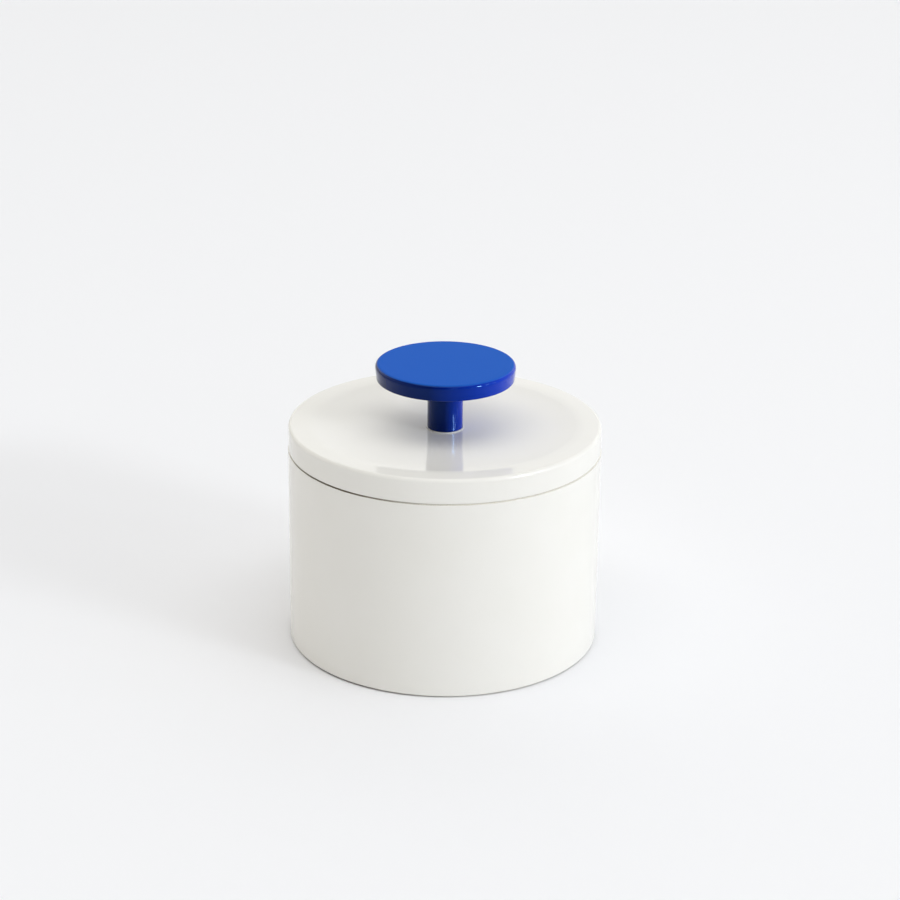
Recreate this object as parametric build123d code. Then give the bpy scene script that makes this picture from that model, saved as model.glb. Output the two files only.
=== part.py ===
from build123d import *
import os

# Lidded round ceramic box with a disc knob. Millimetres, Z up, resting on Z = 0, turned about the Z axis.

# Box
BODY_DIAMETER = 100.0
BODY_HEIGHT = 64.5
WALL_THICKNESS = 4.6
FLOOR_THICKNESS = 5.0
FLOOR_CORNER_RADIUS = 5.0
BODY_BOTTOM_RADIUS = 0.4
RIM_OUTER_RADIUS = 0.5
RIM_INNER_RADIUS = 1.0

# Foot ring under the box
FOOT_INSET = 1.5
FOOT_WIDTH = 3.6
FOOT_HEIGHT = 0.3
FOOT_RECESS_DEPTH = 1.4
FOOT_EDGE_RADIUS = 0.2

# Lid
LID_EDGE_SETBACK = 0.2
LID_EDGE_HEIGHT = 8.0
LID_TOP_RADIUS = 1.2
LID_BOTTOM_RADIUS = 0.4
LID_MARGIN_WIDTH = 6.9
LID_DISH_DEPTH = 2.0
LID_DISH_FLAT_DIAMETER = 38.0
LID_PLATE_THICKNESS = 4.8
LID_RING_DEPTH = 5.5
LID_RING_THICKNESS = 3.6
LID_RING_CLEARANCE = 1.0
LID_RING_EDGE_RADIUS = 1.0
LID_RING_ROOT_RADIUS = 0.5
LID_HOLE_CLEARANCE = 0.5

# Knob
DISC_DIAMETER = 44.7
DISC_DRAFT = 0.5
DISC_THICKNESS = 5.15
DISC_TOP_RADIUS = 1.3
DISC_BOTTOM_RADIUS = 0.4
STEM_DIAMETER = 11.3
STEM_HEIGHT = 16.25
STEM_FOOT_RADIUS = 0.3
STEM_ROOT_RADIUS = 1.0

# Threaded insert in the stem
INSERT_DIAMETER = 6.0
INSERT_SPARE_LENGTH = 1.15
INSERT_WAIST_DEPTH = 0.4
INSERT_WAIST_LENGTH = 2.0
INSERT_KNURL_COUNT = 20
INSERT_KNURL_DEPTH = 0.25
INSERT_KNURL_WIDTH = 0.4
INSERT_CLEARANCE = 0.1
INSERT_END_CLEARANCE = 0.4

# Screw and washers
SCREW_DIAMETER = 4.0
SCREW_ENGAGEMENT = 8.85
SCREW_TIP_CHAMFER = 0.5
SCREW_CLEARANCE = 0.05
HEAD_DIAMETER = 8.0
HEAD_HEIGHT = 3.1
HEAD_EDGE_RADIUS = 1.6
RECESS_LENGTH = 4.4
RECESS_WIDTH = 1.0
RECESS_DEPTH = 1.8
SEAT_WASHER_OVERHANG = 0.25
SEAT_WASHER_THICKNESS = 0.35
SOFT_WASHER_DIAMETER = 14.0
SOFT_WASHER_THICKNESS = 1.0
STEEL_WASHER_DIAMETER = 12.0
STEEL_WASHER_THICKNESS = 1.0
WASHER_HOLE_CLEARANCE = 0.15

# Radii that follow from the sizes above
body_r = BODY_DIAMETER / 2
mouth_r = body_r - WALL_THICKNESS
foot_outer_r = body_r - FOOT_INSET
foot_inner_r = foot_outer_r - FOOT_WIDTH
lid_r = body_r - LID_EDGE_SETBACK
ring_outer_r = mouth_r - LID_RING_CLEARANCE
ring_inner_r = ring_outer_r - LID_RING_THICKNESS
dish_r = lid_r - LID_MARGIN_WIDTH
dish_flat_r = LID_DISH_FLAT_DIAMETER / 2
disc_top_r = DISC_DIAMETER / 2
disc_bottom_r = disc_top_r - DISC_DRAFT
stem_r = STEM_DIAMETER / 2
insert_r = INSERT_DIAMETER / 2
screw_r = SCREW_DIAMETER / 2
lid_hole_r = screw_r + LID_HOLE_CLEARANCE
seat_washer_r = stem_r + SEAT_WASHER_OVERHANG
washer_hole_r = screw_r + WASHER_HOLE_CLEARANCE

# Heights that follow, stacked from the foot to the knob
floor_z = FOOT_RECESS_DEPTH + FLOOR_THICKNESS
seat_z = BODY_HEIGHT
lid_top_z = seat_z + LID_EDGE_HEIGHT
dish_z = lid_top_z - LID_DISH_DEPTH
plate_z = dish_z - LID_PLATE_THICKNESS
ring_z = seat_z - LID_RING_DEPTH
stem_z = dish_z + SEAT_WASHER_THICKNESS
disc_z = stem_z + STEM_HEIGHT
knob_top_z = disc_z + DISC_THICKNESS
screw_tip_z = stem_z + SCREW_ENGAGEMENT
insert_top_z = screw_tip_z + INSERT_SPARE_LENGTH
soft_washer_z = plate_z - SOFT_WASHER_THICKNESS
steel_washer_z = soft_washer_z - STEEL_WASHER_THICKNESS
head_z = steel_washer_z - HEAD_HEIGHT

# Spare length by which a cutting shape runs past the face it cuts
OVERRUN = 5.0


def turn(corners):
    """A solid turned about Z from (radius, height, rounding) corners taken in order round its half section."""
    outline = Polyline(*[(r, 0, z) for r, z, rounding in corners], close=True)
    section = make_face(outline)
    for r, z, rounding in corners:
        if rounding > 0:
            corner = section.vertices().sort_by_distance((r, 0, z))[0]
            section = fillet(corner, rounding)
    return revolve(section, Axis.Z)


def ring(outer_r, inner_r, low_z, height):
    """A plain flat washer."""
    top_z = low_z + height
    return turn([(inner_r, low_z, 0), (outer_r, low_z, 0), (outer_r, top_z, 0), (inner_r, top_z, 0)])


def box_body():
    return turn([
        (0, FOOT_RECESS_DEPTH, 0),
        (foot_inner_r, FOOT_RECESS_DEPTH, FOOT_EDGE_RADIUS),
        (foot_inner_r, 0, FOOT_EDGE_RADIUS),
        (foot_outer_r, 0, FOOT_EDGE_RADIUS),
        (foot_outer_r, FOOT_HEIGHT, 0),
        (body_r, FOOT_HEIGHT, BODY_BOTTOM_RADIUS),
        (body_r, seat_z, RIM_OUTER_RADIUS),
        (mouth_r, seat_z, RIM_INNER_RADIUS),
        (mouth_r, floor_z, FLOOR_CORNER_RADIUS),
        (0, floor_z, 0),
    ])


def dish_tool():
    """The hollow in the lid's top: flat in the middle, then curving up to the margin."""
    flat = Line((0, 0, dish_z), (dish_flat_r, 0, dish_z))
    rise = TangentArc((dish_flat_r, 0, dish_z), (dish_r, 0, lid_top_z), tangent=(1, 0, 0))
    above_z = lid_top_z + OVERRUN
    above = Polyline((dish_r, 0, lid_top_z), (dish_r, 0, above_z), (0, 0, above_z), (0, 0, dish_z))
    return revolve(make_face([flat, rise, above]), Axis.Z)


def lid():
    blank = turn([
        (0, plate_z, 0),
        (ring_inner_r, plate_z, LID_RING_ROOT_RADIUS),
        (ring_inner_r, ring_z, LID_RING_EDGE_RADIUS),
        (ring_outer_r, ring_z, LID_RING_EDGE_RADIUS),
        (ring_outer_r, seat_z, LID_RING_ROOT_RADIUS),
        (lid_r, seat_z, LID_BOTTOM_RADIUS),
        (lid_r, lid_top_z, LID_TOP_RADIUS),
        (0, lid_top_z, 0),
    ])
    hole_tool = Pos(0, 0, plate_z - OVERRUN) * Cylinder(
        lid_hole_r,
        LID_PLATE_THICKNESS + 2 * OVERRUN,
        align=(Align.CENTER, Align.CENTER, Align.MIN),
    )
    return blank - dish_tool() - hole_tool


def knob():
    hole_r = insert_r + INSERT_CLEARANCE
    hole_top_z = insert_top_z + INSERT_END_CLEARANCE
    return turn([
        (hole_r, stem_z, 0),
        (stem_r, stem_z, STEM_FOOT_RADIUS),
        (stem_r, disc_z, STEM_ROOT_RADIUS),
        (disc_bottom_r, disc_z, DISC_BOTTOM_RADIUS),
        (disc_top_r, knob_top_z, DISC_TOP_RADIUS),
        (0, knob_top_z, 0),
        (0, hole_top_z, 0),
        (hole_r, hole_top_z, 0),
    ])


def knob_insert():
    waist_low_z = (stem_z + insert_top_z - INSERT_WAIST_LENGTH) / 2
    waist_high_z = waist_low_z + INSERT_WAIST_LENGTH
    bore_r = screw_r + SCREW_CLEARANCE
    waist_r = insert_r - INSERT_WAIST_DEPTH
    blank = turn([
        (bore_r, stem_z, 0),
        (insert_r, stem_z, 0),
        (insert_r, waist_low_z, 0),
        (waist_r, waist_low_z, 0),
        (waist_r, waist_high_z, 0),
        (insert_r, waist_high_z, 0),
        (insert_r, insert_top_z, 0),
        (bore_r, insert_top_z, 0),
    ])
    groove = Box(
        2 * INSERT_KNURL_DEPTH,
        INSERT_KNURL_WIDTH,
        insert_top_z - stem_z + 2 * OVERRUN,
        align=(Align.CENTER, Align.CENTER, Align.MIN),
    )
    grooves = [place * groove for place in PolarLocations(insert_r, INSERT_KNURL_COUNT)]
    return blank - [Pos(0, 0, stem_z - OVERRUN) * cut for cut in grooves]


def knob_screw():
    blank = turn([
        (0, head_z, 0),
        (HEAD_DIAMETER / 2, head_z, HEAD_EDGE_RADIUS),
        (HEAD_DIAMETER / 2, steel_washer_z, 0),
        (screw_r, steel_washer_z, 0),
        (screw_r, screw_tip_z - SCREW_TIP_CHAMFER, 0),
        (screw_r - SCREW_TIP_CHAMFER, screw_tip_z, 0),
        (0, screw_tip_z, 0),
    ])
    slot = Box(
        RECESS_LENGTH,
        RECESS_WIDTH,
        RECESS_DEPTH + OVERRUN,
        align=(Align.CENTER, Align.CENTER, Align.MAX),
    )
    slot_place = Pos(0, 0, head_z + RECESS_DEPTH)
    return blank - slot_place * slot - slot_place * Rot(0, 0, 90) * slot


def seat_washer():
    return ring(seat_washer_r, washer_hole_r, dish_z, SEAT_WASHER_THICKNESS)


def soft_washer():
    return ring(SOFT_WASHER_DIAMETER / 2, washer_hole_r, soft_washer_z, SOFT_WASHER_THICKNESS)


def steel_washer():
    return ring(STEEL_WASHER_DIAMETER / 2, washer_hole_r, steel_washer_z, STEEL_WASHER_THICKNESS)


pieces = {
    "box_body": box_body(),
    "lid": lid(),
    "knob_seat_washer": seat_washer(),
    "knob": knob(),
    "knob_insert": knob_insert(),
    "lid_soft_washer": soft_washer(),
    "lid_steel_washer": steel_washer(),
    "knob_screw": knob_screw(),
}

os.makedirs("parts", exist_ok=True)
for name, piece in pieces.items():
    solid = piece.solid()
    export_step(solid, f"parts/{name}.step")
    print(name, "volume", round(solid.volume, 1), "faces", len(solid.faces()))
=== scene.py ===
# %% [markdown]
# A round lidded box of white glazed ceramic, lifted by a cobalt-blue knob like a coin on a short stem.
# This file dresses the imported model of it. The model fixes every place and size, and this file gives each
# piece a smooth mesh and its real finish: glaze, bare clay, nylon, rubber, steel and brass.
# Everything is in metres in the model's own frame, with Z up and the foot ring standing on Z = 0.

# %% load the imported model
import math

import bpy
from mathutils import Matrix, Vector


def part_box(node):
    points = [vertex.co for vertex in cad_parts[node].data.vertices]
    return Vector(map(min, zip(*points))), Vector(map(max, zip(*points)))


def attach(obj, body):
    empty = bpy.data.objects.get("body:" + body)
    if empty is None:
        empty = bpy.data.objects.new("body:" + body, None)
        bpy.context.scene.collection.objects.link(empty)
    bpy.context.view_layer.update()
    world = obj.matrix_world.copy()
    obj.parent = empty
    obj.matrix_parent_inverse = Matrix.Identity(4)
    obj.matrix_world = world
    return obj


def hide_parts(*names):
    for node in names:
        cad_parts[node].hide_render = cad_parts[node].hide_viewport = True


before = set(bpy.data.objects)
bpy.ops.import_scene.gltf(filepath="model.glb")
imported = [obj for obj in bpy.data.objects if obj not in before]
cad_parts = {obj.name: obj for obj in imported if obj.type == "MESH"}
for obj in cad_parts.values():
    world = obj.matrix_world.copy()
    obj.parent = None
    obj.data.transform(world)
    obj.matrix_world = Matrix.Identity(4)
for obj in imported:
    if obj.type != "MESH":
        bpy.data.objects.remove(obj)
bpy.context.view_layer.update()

MM = 0.001

# %% [markdown]
# The camera stands in front of the box and looks down on the lid. A long lens keeps the sides of the box
# almost parallel. It could be aimed with a tracking constraint, but three plain turns say more: look level
# along +Y, tip down by the pitch, then roll a little, as a hand-held camera does.

# %% camera
LENS_MM = 92.0
CAMERA_DISTANCE = 760.1 * MM
CAMERA_RISE = math.radians(25.75)
CAMERA_PITCH = math.radians(21.34)
CAMERA_YAW = math.radians(0.14)
CAMERA_ROLL = math.radians(0.63)

bpy.ops.object.select_all(action="DESELECT")
camera_place = CAMERA_DISTANCE * Vector((0, -math.cos(CAMERA_RISE), math.sin(CAMERA_RISE)))
camera_turn = Matrix.Rotation(-CAMERA_YAW, 3, "Z")
camera_turn @= Matrix.Rotation(math.pi / 2 - CAMERA_PITCH, 3, "X")
camera_turn @= Matrix.Rotation(CAMERA_ROLL, 3, "Z")
bpy.ops.object.camera_add(location=camera_place, rotation=camera_turn.to_euler())
camera = bpy.context.object
camera.name = "camera"
camera.data.lens = LENS_MM
bpy.context.scene.camera = camera
bpy.context.scene.view_settings.view_transform = "Standard"
print("camera at", [round(value, 3) for value in camera.location])

# %% [markdown]
# Materials are built from nodes. Three small helpers do the repeated work: one turns a colour that is written
# as on the web into the linear light that shaders count in, one adds a node with its settings and links, and
# one starts a material and sets the plain values on its shader.


# %% material helpers
def linear(hex_colour):
    """An sRGB hex colour as linear RGBA."""
    shares = [int(hex_colour[i : i + 2], 16) / 255 for i in (1, 3, 5)]
    return [s / 12.92 if s <= 0.04045 else ((s + 0.055) / 1.055) ** 2.4 for s in shares] + [1.0]


def add_node(tree, kind, sockets, **settings):
    """Adds a node. Each socket gets a value, or a link if it is given another node's output."""
    node = tree.nodes.new(kind)
    for name, value in settings.items():
        setattr(node, name, value)
    for name, value in sockets.items():
        if isinstance(value, bpy.types.NodeSocket):
            tree.links.new(value, node.inputs[name])
        else:
            node.inputs[name].default_value = value
    return node


def new_material(name, **values):
    """A material with its node tree, its shader's sockets set to plain values, and its Object coordinates."""
    material = bpy.data.materials.new(name)
    material.use_nodes = True
    tree = material.node_tree
    shader = tree.nodes["Principled BSDF"]
    for socket, value in values.items():
        shader.inputs[socket.replace("_", " ")].default_value = value
    place = add_node(tree, "ShaderNodeTexCoord", {}).outputs["Object"]
    return material, tree, shader, place


# The sockets of a colour Mix node
MIX_SHARE, MIX_FROM, MIX_TO, MIX_RESULT = 0, 6, 7, 2
print("white as linear light", [round(share, 3) for share in linear("#FFFFFF")])

# %% [markdown]
# The sizes of the pieces come from the model where its boxes give them. The rest, such as the walls and the
# roundings, are written once, in millimetres, as they are on the real piece.

# %% sizes
_, body_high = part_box("box_body")
lid_low, lid_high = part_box("lid")
knob_low, knob_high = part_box("knob")
seat_washer_low, seat_washer_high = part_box("knob_seat_washer")
_, insert_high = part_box("knob_insert")
soft_washer_low, soft_washer_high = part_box("lid_soft_washer")
steel_washer_low, steel_washer_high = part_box("lid_steel_washer")
screw_low, screw_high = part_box("knob_screw")

WALL = 4.6 * MM
FLOOR = 5.0 * MM
FOOT_INSET = 1.5 * MM
FOOT_WIDTH = 3.6 * MM
FOOT_HEIGHT = 0.3 * MM
FOOT_RECESS = 1.4 * MM
RING_CLEARANCE = 1.0 * MM
RING_THICKNESS = 3.6 * MM
MARGIN_WIDTH = 6.9 * MM
DISC_THICKNESS = 5.15 * MM

body_r = body_high.y
mouth_r = body_r - WALL
foot_outer_r = body_r - FOOT_INSET
foot_inner_r = foot_outer_r - FOOT_WIDTH
floor_z = FOOT_RECESS + FLOOR
seat_z = body_high.z
lid_r = lid_high.y
lid_top_z = lid_high.z
ring_z = lid_low.z
ring_outer_r = mouth_r - RING_CLEARANCE
ring_inner_r = ring_outer_r - RING_THICKNESS
dish_r = lid_r - MARGIN_WIDTH
dish_z = seat_washer_low.z
plate_z = soft_washer_high.z
disc_z = knob_high.z - DISC_THICKNESS
print("box", round(2 * body_r / MM, 2), "mm across, lid seat at", round(seat_z / MM, 2), "mm")

# %% [markdown]
# The glaze is an opaque white over stoneware. The eye sees a warm white with sharp, faint reflections, and a
# tone that drifts a little where the glaze is thicker or thinner. Where box and lid touch, and on the foot
# ring, the glaze was wiped off before firing so that nothing stuck: there the clay shows, matte and pale. The
# bare clay is painted darker towards the left front: that is painted shade, for the seam and the foot line on
# the side away from the windows. Two materials on picked faces would meet in a ruled line, so one material
# holds both, and bands of height and radius, with a wandering edge, say where the clay is bare.

# %% glazed stoneware
GLAZE_DRIFT = 22 * MM
GLAZE_RIPPLE = 6 * MM
GLAZE_RIPPLE_HEIGHT = 0.0015 * MM
GLAZE_THICKNESS = 0.12 * MM
GLAZE_LINE_WANDER = 4 * MM
GLAZE_LINE_SWAY = 0.10 * MM
GLAZE_LINE_SOFTNESS = 0.05 * MM
CLAY_GRIT = 0.5 * MM
CLAY_GRIT_HEIGHT = 0.03 * MM
# Bare clay is painted darker within this reach of a point at the left front: painted shade, away from the
# windows.
CLAY_SHADE_CENTRE = (-34 * MM, -37 * MM, 0)
CLAY_SHADE_REACH = 45 * MM
CERAMIC_IOR = 1.5
GLAZE_SPECULAR = 0.3
GLAZE_SMOOTH = 0.05
GLAZE_DULL = 0.09
CLAY_ROUGHNESS = 0.8
CLAY_SPECKLE = 0.2
GLAZE_THIN = "#E9E7E0"
GLAZE_THICK = "#EDEBE6"
# The bare clay's colours: painted shade at the left front, and its own pale colour elsewhere.
CLAY_PAINTED_SHADE = "#6B6051"
CLAY_PLAIN = "#E4E0D6"


def glazed_stoneware(name, bare_bands):
    """White glaze, with bare clay in bands of (low Z, high Z, least radius)."""
    material, tree, shader, place = new_material(
        name, IOR=CERAMIC_IOR, Specular_IOR_Level=GLAZE_SPECULAR
    )
    height = add_node(tree, "ShaderNodeSeparateXYZ", {"Vector": place}).outputs["Z"]
    level = add_node(tree, "ShaderNodeVectorMath", {0: place, 1: (1, 1, 0)}, operation="MULTIPLY").outputs[0]
    radius = add_node(tree, "ShaderNodeVectorMath", {0: level}, operation="LENGTH").outputs["Value"]
    wander = add_node(tree, "ShaderNodeTexNoise", {"Vector": place, "Scale": 1 / GLAZE_LINE_WANDER})
    sway = add_node(
        tree,
        "ShaderNodeMapRange",
        {"Value": wander.outputs[0], "To Min": -GLAZE_LINE_SWAY, "To Max": GLAZE_LINE_SWAY},
    )
    line = add_node(tree, "ShaderNodeMath", {0: height, 1: sway.outputs[0]}, operation="ADD").outputs[0]
    bare = 0.0
    for low, high, least_radius in bare_bands:
        band = 1.0
        for value, edge, side in [(line, low, 1), (line, high, -1), (radius, least_radius, 1)]:
            soft = side * GLAZE_LINE_SOFTNESS
            step = add_node(
                tree,
                "ShaderNodeMapRange",
                {"Value": value, "From Min": edge - soft, "From Max": edge + soft},
                interpolation_type="SMOOTHSTEP",
            )
            both = {0: band, 1: step.outputs[0]}
            band = add_node(tree, "ShaderNodeMath", both, operation="MULTIPLY").outputs[0]
        bare = add_node(tree, "ShaderNodeMath", {0: bare, 1: band}, operation="MAXIMUM").outputs[0]

    drift = add_node(tree, "ShaderNodeTexNoise", {"Vector": place, "Scale": 1 / GLAZE_DRIFT}).outputs[0]
    ripple = add_node(tree, "ShaderNodeTexNoise", {"Vector": place, "Scale": 1 / GLAZE_RIPPLE}).outputs[0]
    grit = add_node(tree, "ShaderNodeTexNoise", {"Vector": place, "Scale": 1 / CLAY_GRIT}).outputs[0]
    glaze = add_node(
        tree,
        "ShaderNodeMix",
        {MIX_SHARE: drift, MIX_FROM: linear(GLAZE_THIN), MIX_TO: linear(GLAZE_THICK)},
        data_type="RGBA",
    ).outputs[MIX_RESULT]
    # Painted shade: the bare clay darkens towards the left front.
    from_shade_centre = add_node(tree, "ShaderNodeVectorMath", {0: level, 1: CLAY_SHADE_CENTRE}, operation="DISTANCE")
    unshaded = add_node(
        tree,
        "ShaderNodeMapRange",
        {"Value": from_shade_centre.outputs["Value"], "From Max": CLAY_SHADE_REACH},
        interpolation_type="SMOOTHSTEP",
    ).outputs[0]
    speckle = add_node(
        tree, "ShaderNodeMapRange", {"Value": grit, "To Min": -CLAY_SPECKLE, "To Max": CLAY_SPECKLE}
    ).outputs[0]
    paleness = add_node(tree, "ShaderNodeMath", {0: unshaded, 1: speckle}, operation="ADD").outputs[0]
    clay = add_node(
        tree,
        "ShaderNodeMix",
        {MIX_SHARE: paleness, MIX_FROM: linear(CLAY_PAINTED_SHADE), MIX_TO: linear(CLAY_PLAIN)},
        data_type="RGBA",
    ).outputs[MIX_RESULT]
    colour = add_node(
        tree, "ShaderNodeMix", {MIX_SHARE: bare, MIX_FROM: glaze, MIX_TO: clay}, data_type="RGBA"
    ).outputs[MIX_RESULT]
    polish = add_node(
        tree, "ShaderNodeMapRange", {"Value": drift, "To Min": GLAZE_SMOOTH, "To Max": GLAZE_DULL}
    ).outputs[0]
    rough = add_node(
        tree, "ShaderNodeMapRange", {"Value": bare, "To Min": polish, "To Max": CLAY_ROUGHNESS}
    ).outputs[0]
    glaze_top = add_node(
        tree,
        "ShaderNodeMath",
        {0: ripple, 1: GLAZE_RIPPLE_HEIGHT, 2: GLAZE_THICKNESS},
        operation="MULTIPLY_ADD",
    ).outputs[0]
    clay_top = add_node(
        tree, "ShaderNodeMath", {0: grit, 1: CLAY_GRIT_HEIGHT}, operation="MULTIPLY"
    ).outputs[0]
    relief = add_node(tree, "ShaderNodeMapRange", {"Value": bare, "To Min": glaze_top, "To Max": clay_top})
    bump = add_node(tree, "ShaderNodeBump", {"Height": relief.outputs[0], "Distance": 1.0})
    tree.links.new(colour, shader.inputs["Base Color"])
    tree.links.new(rough, shader.inputs["Roughness"])
    tree.links.new(bump.outputs[0], shader.inputs["Normal"])
    return material


# A band runs past the face it starts from, so that the face lies well inside it
BAND_OVERRUN = 1 * MM
# The foot band runs up onto the rounded bottom edge, where the painted shade of the clay darkens the foot line
# at the left.
FOOT_BARE_HEIGHT = 0.55 * MM
RIM_BARE_DEPTH = 0.25 * MM
RING_BARE_HEIGHT = 0.5 * MM
SEAT_BARE_BELOW = 0.3 * MM
SEAT_BARE_ABOVE = 0.2 * MM
SEAT_BARE_OFF_RING = 0.2 * MM

bare_foot = (-BAND_OVERRUN, FOOT_BARE_HEIGHT, 0.0)
bare_rim = (seat_z - RIM_BARE_DEPTH, seat_z + BAND_OVERRUN, 0.0)
bare_ring_edge = (ring_z - BAND_OVERRUN, ring_z + RING_BARE_HEIGHT, 0.0)
bare_seat = (seat_z - SEAT_BARE_BELOW, seat_z + SEAT_BARE_ABOVE, ring_outer_r + SEAT_BARE_OFF_RING)
body_finish = glazed_stoneware("white_glaze_on_stoneware_body", [bare_foot, bare_rim])
lid_finish = glazed_stoneware("white_glaze_on_stoneware_lid", [bare_ring_edge, bare_seat])
print("glaze ripple", GLAZE_RIPPLE / MM, "mm, glaze thickness", GLAZE_THICKNESS / MM, "mm")

# %% [markdown]
# The knob's glaze is cobalt blue: deep, saturated and glossy, and its thick skin tints what it mirrors. Its
# colour is painted from a deep blue on the left to a bright one on the right: painted shade on the side away
# from the windows and painted light on the side towards them, with a little random tone. The stem is painted
# darker than the disc, as painted shade under the disc. Fingers have worn the flat top to a satin that mirrors
# little, and the top is painted paler too, as a painted sheen of the bright room; the edge, the side and the
# stem keep their gloss. The place on the piece says which is which: the height for the top and for the shade
# under the disc, the direction from the axis for the painted light and shade.

# %% cobalt glaze
COBALT_DRIFT = 9 * MM
COBALT_DRIFT_SHARE = 0.1
COBALT_RIPPLE_HEIGHT = 0.0015 * MM
# The stem is painted darker than the disc by this share, fading out over this height below it: painted shade
# under the disc.
COBALT_UNDER_DISC_SHADE = 0.2
UNDER_DISC_SHADE_FADE = 2 * MM
# The knob's colour runs from the side away from the windows to the side towards them: painted shade and light.
SHADED_END = -0.2
LIT_END = 0.9
SATIN_FADE = 0.45 * MM
SATIN_ROUGHNESS = 0.75
COBALT_SPECULAR = 0.35
COBALT_TINT = "#86BEFF"
# The cobalt's painted shade and painted light.
COBALT_SHADED = "#000D4E"
COBALT_LIT = "#0030B4"
# The top's colour, painted paler as a painted sheen of the bright room.
COBALT_WORN_AND_SHEEN = "#0053B8"


def cobalt_glaze():
    material, tree, shader, place = new_material(
        "cobalt_blue_glaze",
        IOR=CERAMIC_IOR,
        Specular_IOR_Level=COBALT_SPECULAR,
        Specular_Tint=linear(COBALT_TINT),
    )
    height = add_node(tree, "ShaderNodeSeparateXYZ", {"Vector": place}).outputs["Z"]
    level = add_node(tree, "ShaderNodeVectorMath", {0: place, 1: (1, 1, 0)}, operation="MULTIPLY").outputs[0]
    outward = add_node(tree, "ShaderNodeVectorMath", {0: level}, operation="NORMALIZE").outputs[0]
    rightward = add_node(tree, "ShaderNodeSeparateXYZ", {"Vector": outward}).outputs["X"]
    drift = add_node(tree, "ShaderNodeTexNoise", {"Vector": place, "Scale": 1 / COBALT_DRIFT}).outputs[0]
    ripple = add_node(tree, "ShaderNodeTexNoise", {"Vector": place, "Scale": 1 / GLAZE_RIPPLE}).outputs[0]
    # Painted light and shade: the colour follows the side that faces the windows, on the right, with a little
    # random drift.
    run = {0: drift, 1: COBALT_DRIFT_SHARE, 2: rightward}
    lit_side_and_drift = add_node(tree, "ShaderNodeMath", run, operation="MULTIPLY_ADD").outputs[0]
    # Painted shade under the disc: the stem is darker than the disc.
    under_disc_shade = add_node(
        tree,
        "ShaderNodeMapRange",
        {
            "Value": height,
            "From Min": disc_z - UNDER_DISC_SHADE_FADE,
            "From Max": disc_z,
            "To Min": COBALT_UNDER_DISC_SHADE,
            "To Max": 0.0,
        },
    ).outputs[0]
    light_shade_and_drift = add_node(tree, "ShaderNodeMath", {0: lit_side_and_drift, 1: under_disc_shade}, operation="SUBTRACT").outputs[0]
    lit_share = add_node(
        tree, "ShaderNodeMapRange", {"Value": light_shade_and_drift, "From Min": SHADED_END, "From Max": LIT_END}
    ).outputs[0]
    # The top face: worn to satin, and painted paler as a painted sheen.
    worn = add_node(
        tree,
        "ShaderNodeMapRange",
        {"Value": height, "From Min": knob_high.z - SATIN_FADE, "From Max": knob_high.z},
        interpolation_type="SMOOTHSTEP",
    ).outputs[0]
    glossy = add_node(
        tree,
        "ShaderNodeMix",
        {MIX_SHARE: lit_share, MIX_FROM: linear(COBALT_SHADED), MIX_TO: linear(COBALT_LIT)},
        data_type="RGBA",
    ).outputs[MIX_RESULT]
    colour = add_node(
        tree,
        "ShaderNodeMix",
        {MIX_SHARE: worn, MIX_FROM: glossy, MIX_TO: linear(COBALT_WORN_AND_SHEEN)},
        data_type="RGBA",
    ).outputs[MIX_RESULT]
    polish = add_node(
        tree, "ShaderNodeMapRange", {"Value": drift, "To Min": GLAZE_SMOOTH, "To Max": GLAZE_DULL}
    ).outputs[0]
    rough = add_node(
        tree, "ShaderNodeMapRange", {"Value": worn, "To Min": polish, "To Max": SATIN_ROUGHNESS}
    ).outputs[0]
    relief = add_node(
        tree, "ShaderNodeMath", {0: ripple, 1: COBALT_RIPPLE_HEIGHT}, operation="MULTIPLY"
    ).outputs[0]
    bump = add_node(tree, "ShaderNodeBump", {"Height": relief, "Distance": 1.0}).outputs[0]
    tree.links.new(colour, shader.inputs["Base Color"])
    tree.links.new(rough, shader.inputs["Roughness"])
    tree.links.new(bump, shader.inputs["Normal"])
    return material


knob_finish = cobalt_glaze()
print("worn to satin over", SATIN_FADE / MM, "mm below the top")

# %% [markdown]
# The small fittings under the lid are everyday ones: a moulded nylon washer, a stamped rubber washer, a zinc-
# plated steel washer and screw, and a turned brass insert. Each finish has the grain of how it was made:
# nylon a faint cloud, rubber a dusty bloom, zinc the mottle of barrel plating, brass the rings of the lathe.

# %% finishes of the fittings
NYLON_CLOUD = 1.5 * MM
RUBBER_BLOOM = 1.2 * MM
ZINC_MOTTLE = 0.8 * MM
LATHE_FEED = 0.25 * MM
GRAIN_DETAIL = 4.0


def mottled(name, dark, light, grain, smooth, rough, stretch=(1, 1, 1), **values):
    """A finish whose colour and roughness drift together with a grain of that size."""
    material, tree, shader, place = new_material(name, **values)
    laid = add_node(tree, "ShaderNodeMapping", {"Vector": place, "Scale": stretch}).outputs[0]
    drift = add_node(
        tree, "ShaderNodeTexNoise", {"Vector": laid, "Scale": 1 / grain, "Detail": GRAIN_DETAIL}
    ).outputs[0]
    colour = add_node(
        tree,
        "ShaderNodeMix",
        {MIX_SHARE: drift, MIX_FROM: linear(dark), MIX_TO: linear(light)},
        data_type="RGBA",
    ).outputs[MIX_RESULT]
    polish = add_node(
        tree, "ShaderNodeMapRange", {"Value": drift, "To Min": smooth, "To Max": rough}
    ).outputs[0]
    tree.links.new(colour, shader.inputs["Base Color"])
    tree.links.new(polish, shader.inputs["Roughness"])
    return material


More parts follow.
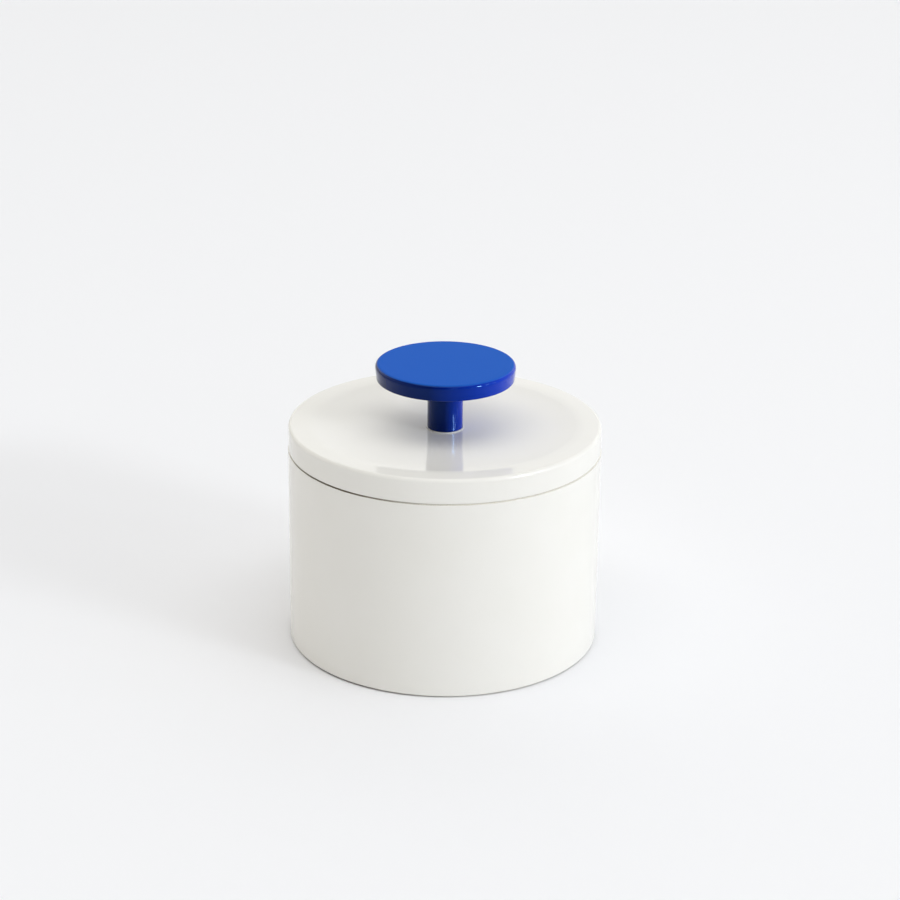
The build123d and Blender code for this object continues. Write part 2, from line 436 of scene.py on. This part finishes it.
nylon_finish = mottled("moulded_white_nylon", "#DEDDD6", "#E6E5DF", NYLON_CLOUD, 0.30, 0.45, IOR=1.53)
rubber_finish = mottled("stamped_grey_rubber", "#45464A", "#5B5C5F", RUBBER_BLOOM, 0.65, 0.85, IOR=1.52)
zinc_finish = mottled("zinc_plated_steel", "#B4B7BB", "#D3D5D6", ZINC_MOTTLE, 0.20, 0.38, Metallic=1.0)
brass_finish = mottled(
    "turned_brass", "#C09A52", "#D9B66C", LATHE_FEED, 0.18, 0.34, stretch=(0.02, 0.02, 1), Metallic=1.0
)
print("four finishes for the fittings")

# %% [markdown]
# A potter makes round ware on a wheel, so every round piece here is made the same way: half of its section
# is drawn as a line of points, the corners are rounded, and the line is spun once round the axis. It could
# also be cut from a cylinder with insets and bevels, but the section keeps each rounding exact.


# %% the wheel
WHEEL_STEPS = 192
ROUNDING_STEPS = 8
TOUCHING = 0.001 * MM
SHARP_ANGLE = math.radians(40)


def pick_points(piece, places):
    """In edit mode, selects only the points of a piece that lie at these places."""
    bpy.ops.mesh.select_mode(type="VERT")
    bpy.ops.mesh.select_all(action="DESELECT")
    bpy.ops.object.mode_set(mode="OBJECT")
    for point in piece.data.vertices:
        point.select = any((point.co - place).length < TOUCHING for place in places)
    bpy.ops.object.mode_set(mode="EDIT")


def turned(name, outline, closed=False):
    """A piece spun about Z from (radius, height, rounding) corners. An outline with a hole is closed."""
    corners = [Vector((radius, 0, height)) for radius, height, _ in outline]
    bpy.ops.object.select_all(action="DESELECT")
    bpy.ops.mesh.primitive_plane_add(size=MM)
    piece = bpy.context.object
    piece.name = name
    piece.data.name = name
    bpy.ops.object.mode_set(mode="EDIT")
    bpy.ops.mesh.merge(type="CENTER")
    bpy.ops.transform.translate(value=corners[0])
    for start, end in zip(corners, corners[1:]):
        bpy.ops.mesh.extrude_region_move(TRANSFORM_OT_translate={"value": end - start})
    if closed:
        pick_points(piece, [corners[0], corners[-1]])
        bpy.ops.mesh.edge_face_add()
    for index, (_, _, rounding) in enumerate(outline):
        if rounding > 0:
            run_in = corners[index] - corners[index - 1]
            run_out = corners[(index + 1) % len(corners)] - corners[index]
            reach = rounding * math.tan(run_in.angle(run_out) / 2)
            pick_points(piece, [corners[index]])
            bpy.ops.mesh.bevel(offset=reach, segments=ROUNDING_STEPS, affect="VERTICES")
    bpy.ops.mesh.select_all(action="SELECT")
    bpy.ops.mesh.spin(steps=WHEEL_STEPS, angle=2 * math.pi, center=(0, 0, 0), axis=(0, 0, 1))
    bpy.ops.mesh.select_all(action="SELECT")
    bpy.ops.mesh.remove_doubles(threshold=TOUCHING)
    bpy.ops.mesh.normals_make_consistent(inside=False)
    bpy.ops.object.mode_set(mode="OBJECT")
    return piece


def finished(piece, finish, body, node):
    """Smooths a piece, gives it its finish, and sets it on its body in place of its CAD node."""
    bpy.ops.object.shade_smooth_by_angle(angle=SHARP_ANGLE)
    bpy.ops.object.modifier_add(type="WEIGHTED_NORMAL")
    piece.modifiers[-1].keep_sharp = True
    bpy.ops.object.modifier_apply(modifier=piece.modifiers[-1].name)
    piece.data.materials.append(finish)
    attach(piece, body)
    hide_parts(node)
    size = [round(side / MM, 2) for side in piece.dimensions]
    print(piece.name, size, "mm,", len(piece.data.polygons), "faces")


print("wheel of", WHEEL_STEPS, "steps")

# %% [markdown]
# The box is one casting: a straight wall, a floor with a round inner corner, and a low foot ring that keeps
# the glaze off the table. Its outer bottom edge is rounded and stands clear of the table, which gives the
# thin dark line all round the foot.

# %% box
FOOT_EDGE = 0.2 * MM
BODY_BOTTOM_EDGE = 0.4 * MM
RIM_OUTER_EDGE = 0.5 * MM
RIM_INNER_EDGE = 1.0 * MM
FLOOR_CORNER = 5.0 * MM

box_piece = turned(
    "box",
    [
        (0, FOOT_RECESS, 0),
        (foot_inner_r, FOOT_RECESS, FOOT_EDGE),
        (foot_inner_r, 0, FOOT_EDGE),
        (foot_outer_r, 0, FOOT_EDGE),
        (foot_outer_r, FOOT_HEIGHT, 0),
        (body_r, FOOT_HEIGHT, BODY_BOTTOM_EDGE),
        (body_r, seat_z, RIM_OUTER_EDGE),
        (mouth_r, seat_z, RIM_INNER_EDGE),
        (mouth_r, floor_z, FLOOR_CORNER),
        (0, floor_z, 0),
    ],
)
finished(box_piece, body_finish, "box", "box_body")

# %% [markdown]
# The lid is a second casting: a flat margin, a shallow dish inside it, a seat that lies on the box's rim and
# a ring below that drops into the mouth. The dish is flat in the middle and then curves up to the margin in
# one long arc, so its points come from the circle's own formula. The crease where margin and dish meet is
# softened, as glaze always rounds it.

# %% lid
SCREW_HOLE_R = 2.5 * MM
DISH_FLAT_R = 19.0 * MM
DISH_STEPS = 16
CREASE_ROUNDING = 24 * MM
LID_TOP_EDGE = 1.2 * MM
LID_BOTTOM_EDGE = 0.4 * MM
RING_EDGE = 1.0 * MM
RING_ROOT = 0.5 * MM
SCREW_HOLE_EDGE = 0.2 * MM

dish_depth = lid_top_z - dish_z
dish_run = dish_r - DISH_FLAT_R
dish_arc_r = (dish_run**2 + dish_depth**2) / (2 * dish_depth)
dish_runs = [dish_run * step / DISH_STEPS for step in range(DISH_STEPS)]
dish_line = [
    (DISH_FLAT_R + run, dish_z + dish_arc_r - math.sqrt(dish_arc_r**2 - run**2), 0) for run in dish_runs
]
lid_piece = turned(
    "lid_shell",
    [
        (SCREW_HOLE_R, dish_z, SCREW_HOLE_EDGE),
        *dish_line,
        (dish_r, lid_top_z, CREASE_ROUNDING),
        (lid_r, lid_top_z, LID_TOP_EDGE),
        (lid_r, seat_z, LID_BOTTOM_EDGE),
        (ring_outer_r, seat_z, RING_ROOT),
        (ring_outer_r, ring_z, RING_EDGE),
        (ring_inner_r, ring_z, RING_EDGE),
        (ring_inner_r, plate_z, RING_ROOT),
        (SCREW_HOLE_R, plate_z, SCREW_HOLE_EDGE),
    ],
    closed=True,
)
finished(lid_piece, lid_finish, "lid", "lid")

# %% [markdown]
# The knob is a disc and a stem in one piece. The disc tapers a hair towards its underside and has a soft top
# edge, which catches the windows as small bright dashes. A blind hole in the stem takes the insert.

# %% knob
DISC_TOP_R = 22.35 * MM
DISC_BOTTOM_R = 21.85 * MM
STEM_R = 5.65 * MM
DISC_TOP_EDGE = 1.3 * MM
DISC_BOTTOM_EDGE = 0.4 * MM
STEM_ROOT = 1.0 * MM
STEM_FOOT = 0.3 * MM
INSERT_CLEARANCE = 0.1 * MM
INSERT_END_CLEARANCE = 0.4 * MM

insert_hole_r = insert_high.x + INSERT_CLEARANCE
insert_hole_z = insert_high.z + INSERT_END_CLEARANCE
knob_piece = turned(
    "disc_knob",
    [
        (0, knob_high.z, 0),
        (DISC_TOP_R, knob_high.z, DISC_TOP_EDGE),
        (DISC_BOTTOM_R, disc_z, DISC_BOTTOM_EDGE),
        (STEM_R, disc_z, STEM_ROOT),
        (STEM_R, knob_low.z, STEM_FOOT),
        (insert_hole_r, knob_low.z, 0),
        (insert_hole_r, insert_hole_z, 0),
        (0, insert_hole_z, 0),
    ],
)
finished(knob_piece, knob_finish, "lid", "knob")

# %% [markdown]
# Three washers sit round the screw: a thin nylon one that shows as a pale line under the stem, and a soft and
# a steel one below the lid. Stamping and moulding leave small round edges, so none of them is a bare ring.

# %% washers
WASHER_HOLE_R = 2.15 * MM
NYLON_EDGE = 0.1 * MM
RUBBER_EDGE = 0.3 * MM
STEEL_EDGE = 0.2 * MM


def washer(name, low, high, edge, finish, node):
    """A washer that fills the box from low to high, with rounded edges."""
    outer_r = high.y
    outline = [
        (WASHER_HOLE_R, low.z, edge),
        (outer_r, low.z, edge),
        (outer_r, high.z, edge),
        (WASHER_HOLE_R, high.z, edge),
    ]
    finished(turned(name, outline, closed=True), finish, "lid", node)


washer(
    "nylon_washer",
    seat_washer_low,
    seat_washer_high,
    NYLON_EDGE,
    nylon_finish,
    "knob_seat_washer",
)
washer(
    "rubber_washer",
    soft_washer_low,
    soft_washer_high,
    RUBBER_EDGE,
    rubber_finish,
    "lid_soft_washer",
)
washer(
    "steel_washer",
    steel_washer_low,
    steel_washer_high,
    STEEL_EDGE,
    zinc_finish,
    "lid_steel_washer",
)

# %% [markdown]
# The screw goes up through the lid into the knob. Its pan head is turned like the rest, and a tapered cross
# is then cut into it for the screwdriver. A Boolean modifier does the cut, with a cutter made from two cubes
# that are narrowed at their deep end.

# %% screw
HEAD_R = 4.0 * MM
HEAD_ROUNDING = 1.6 * MM
SHANK_R = 2.0 * MM
TIP_CHAMFER = 0.5 * MM
RECESS_LENGTH = 4.4 * MM
RECESS_WIDTH = 1.0 * MM
RECESS_DEPTH = 1.8 * MM
RECESS_TAPER = 0.55
FACING_UP = 0.9


def cross_cutter():
    """Two crossed wedges, widest where the screwdriver enters."""
    bpy.ops.object.select_all(action="DESELECT")
    bpy.ops.mesh.primitive_cube_add(size=1)
    cutter = bpy.context.object
    cutter.name = "cross_cutter"
    bpy.ops.object.mode_set(mode="EDIT")
    bpy.ops.transform.resize(value=(RECESS_LENGTH, RECESS_WIDTH, 2 * RECESS_DEPTH))
    bpy.ops.transform.translate(value=(0, 0, screw_low.z))
    bpy.ops.mesh.select_all(action="DESELECT")
    bpy.ops.mesh.select_mode(type="FACE")
    bpy.ops.object.mode_set(mode="OBJECT")
    for face in cutter.data.polygons:
        face.select = face.normal.z > FACING_UP
    bpy.ops.object.mode_set(mode="EDIT")
    bpy.ops.transform.resize(value=(RECESS_TAPER, RECESS_TAPER, 1), center_override=(0, 0, screw_low.z))
    bpy.ops.mesh.select_all(action="SELECT")
    bpy.ops.mesh.duplicate()
    bpy.ops.transform.rotate(value=math.pi / 2, orient_axis="Z", center_override=(0, 0, 0))
    bpy.ops.object.mode_set(mode="OBJECT")
    return cutter


screw_piece = turned(
    "pan_head_screw",
    [
        (0, screw_low.z, 0),
        (HEAD_R, screw_low.z, HEAD_ROUNDING),
        (HEAD_R, steel_washer_low.z, 0),
        (SHANK_R, steel_washer_low.z, 0),
        (SHANK_R, screw_high.z - TIP_CHAMFER, 0),
        (SHANK_R - TIP_CHAMFER, screw_high.z, 0),
        (0, screw_high.z, 0),
    ],
)
cutter = cross_cutter()
bpy.ops.object.select_all(action="DESELECT")
bpy.context.view_layer.objects.active = screw_piece
screw_piece.select_set(True)
bpy.ops.object.modifier_add(type="BOOLEAN")
screw_piece.modifiers[-1].object = cutter
screw_piece.modifiers[-1].use_self = True
bpy.ops.object.modifier_apply(modifier=screw_piece.modifiers[-1].name)
bpy.data.objects.remove(cutter)
finished(screw_piece, zinc_finish, "lid", "knob_screw")

# %% [markdown]
# The brass insert is sealed in the stem. Its CAD shape, with its knurl and waist, is right as it is, so the
# node stays and only gets its finish.

# %% insert
insert_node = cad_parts["knob_insert"]
insert_node.data.materials.clear()
insert_node.data.materials.append(brass_finish)
print("brass on", insert_node.name)

# %% [markdown]
# The box stands on a plain pale table top that runs far back, so the camera sees nothing else. The floor is
# matte, so that it only takes the soft shadow of the box.

# %% floor
FLOOR_SIZE = 16.0
FLOOR_COLOUR = "#EFEFF1"
FLOOR_ROUGHNESS = 0.9


def pale_floor():
    material, _, shader, _ = new_material("matte_pale_table", Roughness=FLOOR_ROUGHNESS)
    shader.inputs["Base Color"].default_value = linear(FLOOR_COLOUR)
    return material


bpy.ops.object.select_all(action="DESELECT")
bpy.ops.mesh.primitive_plane_add(size=FLOOR_SIZE)
floor = bpy.context.object
floor.name = "floor"
floor.data.materials.append(pale_floor())
print("floor", FLOOR_SIZE, "m across")

# %% [markdown]
# The light is a bright room by day. A window to the right of the camera makes the bright right side and the
# long soft shadow to the left, and mirrors as a dash on the knob's edge. The next one mirrors as a smaller
# dash beside it, and four dimmer ones help. They could be suns, but a window has a size, and its size sets how
# soft the shadows are and how wide the dashes. Each lamp hangs far off and is given by the angle at which the
# box sees it, so its brightness doesn't change with its distance.

# %% windows
ROOM_DISTANCE = 4.0
DAYLIGHT = "#F5FAFF"


def window(name, azimuth, elevation, wide, high, brightness):
    """A window seen from the box at that azimuth, to the right of the camera, and elevation, in degrees."""
    turn, rise = math.radians(azimuth), math.radians(elevation)
    towards = Vector((math.sin(turn) * math.cos(rise), -math.cos(turn) * math.cos(rise), math.sin(rise)))
    bpy.ops.object.select_all(action="DESELECT")
    bpy.ops.object.light_add(
        type="AREA", location=towards * ROOM_DISTANCE, rotation=towards.to_track_quat("Z", "Y").to_euler()
    )
    lamp = bpy.context.object
    lamp.name = name
    lamp.data.shape = "RECTANGLE"
    lamp.data.size = 2 * ROOM_DISTANCE * math.tan(math.radians(wide) / 2)
    lamp.data.size_y = 2 * ROOM_DISTANCE * math.tan(math.radians(high) / 2)
    lamp.data.energy = brightness * math.pi * lamp.data.size * lamp.data.size_y
    lamp.data.color = linear(DAYLIGHT)[:3]
    print(name, round(lamp.data.energy, 2), "W")
    return lamp


window("main_window", 57, 20.4, 12, 3.4, 65)
window("next_window", 72, 20.4, 4, 3.4, 30)
window("side_window", 88, 24, 6, 4, 11)
window("middle_window", 45, 20.4, 3, 3.4, 20)
window("front_window", 31, 20.4, 3, 3.4, 16)
window("near_window", 13, 22, 12, 14, 2.5)

# %% [markdown]
# The dashes on the knob's edge are thinner than a pixel, so the two brightest windows alone leave them faint.
# Brighter windows would also harden the shadows and bleach the white. So each dash gets a lamp of its own, in
# its window, that only glossy surfaces see. It is a studio trick: no real lamp does that.

# %% glints
GLINT_ELEVATION = 20.4
GLINT_HIGH = 3.4
GLINTS = [("main_glint", 57, 7, 420), ("next_glint", 72, 4, 220)]

for name, azimuth, wide, brightness in GLINTS:
    glint = window(name, azimuth, GLINT_ELEVATION, wide, GLINT_HIGH, brightness)
    glint.visible_diffuse = False

# %% [markdown]
# The rest of the light is the room itself: four walls, each in three bands of height, a ceiling whose front
# half is a skylight, and the ground beyond the table, pale enough that no black line shows at its far end.
# A photographed panorama could do this, but a few named values are easier to follow and to change. The
# direction in which a ray leaves the box chooses the wall: its X share mixes the side walls in, its Y share
# the wall behind the camera, in front, and the wall behind the box.

# %% room
WALLS = [
    (0, {"left": 0.17, "right": 0.67, "front": 0.31, "back": 1.11}),
    (12, {"left": 1.34, "right": 0.87, "front": 0.20, "back": 1.27}),
    (30, {"left": 0.46, "right": 0.86, "front": 0.00, "back": 1.11}),
]
CEILING_EDGE = 55
CEILING = {"front": 2.35, "back": 0.55}
GROUND = 0.6
BLEND = 0.04
SKYLIGHT_BLEND = 0.15
LEFT_TINT = "#FFFCF5"
RIGHT_TINT = "#F8FBFF"

world = bpy.data.worlds.new("bright_room")
bpy.context.scene.world = world
world.use_nodes = True
room = world.node_tree
look = add_node(room, "ShaderNodeTexCoord", {}).outputs["Generated"]
look_x, look_y, look_z = add_node(room, "ShaderNodeSeparateXYZ", {"Vector": look}).outputs
level = add_node(room, "ShaderNodeVectorMath", {0: look, 1: (1, 1, 0)}, operation="MULTIPLY").outputs[0]
ahead = add_node(room, "ShaderNodeVectorMath", {0: level}, operation="NORMALIZE").outputs[0]
ahead_x = add_node(room, "ShaderNodeSeparateXYZ", {"Vector": ahead}).outputs["X"]
side_share = add_node(room, "ShaderNodeMath", {0: ahead_x, 1: ahead_x}, operation="MULTIPLY").outputs[0]


def between(value, edge, blend, below, over):
    """One brightness below an edge and another over it, with a soft change."""
    change = {
        "Value": value,
        "From Min": edge - blend,
        "From Max": edge + blend,
        "To Min": below,
        "To Max": over,
    }
    return add_node(room, "ShaderNodeMapRange", change, interpolation_type="SMOOTHSTEP").outputs[0]


def walls(glow):
    """The brightness of four walls, by the direction in which the ray goes."""
    side = between(look_x, 0, BLEND, glow["left"], glow["right"])
    end = between(look_y, 0, BLEND, glow["front"], glow["back"])
    shares = {"Value": side_share, "To Min": end, "To Max": side}
    return add_node(room, "ShaderNodeMapRange", shares).outputs[0]


glow = GROUND
for edge, band in WALLS:
    glow = between(look_z, math.sin(math.radians(edge)), BLEND, glow, walls(band))
ceiling = between(look_y, 0, SKYLIGHT_BLEND, CEILING["front"], CEILING["back"])
glow = between(look_z, math.sin(math.radians(CEILING_EDGE)), BLEND, glow, ceiling)
warmth = add_node(room, "ShaderNodeMapRange", {"Value": look_x, "From Min": -1.0, "From Max": 1.0}).outputs[0]
tint = add_node(
    room,
    "ShaderNodeMix",
    {MIX_SHARE: warmth, MIX_FROM: linear(LEFT_TINT), MIX_TO: linear(RIGHT_TINT)},
    data_type="RGBA",
).outputs[MIX_RESULT]
room.links.new(tint, room.nodes["Background"].inputs["Color"])
room.links.new(glow, room.nodes["Background"].inputs["Strength"])
print("ceiling", CEILING, "walls by height", WALLS)
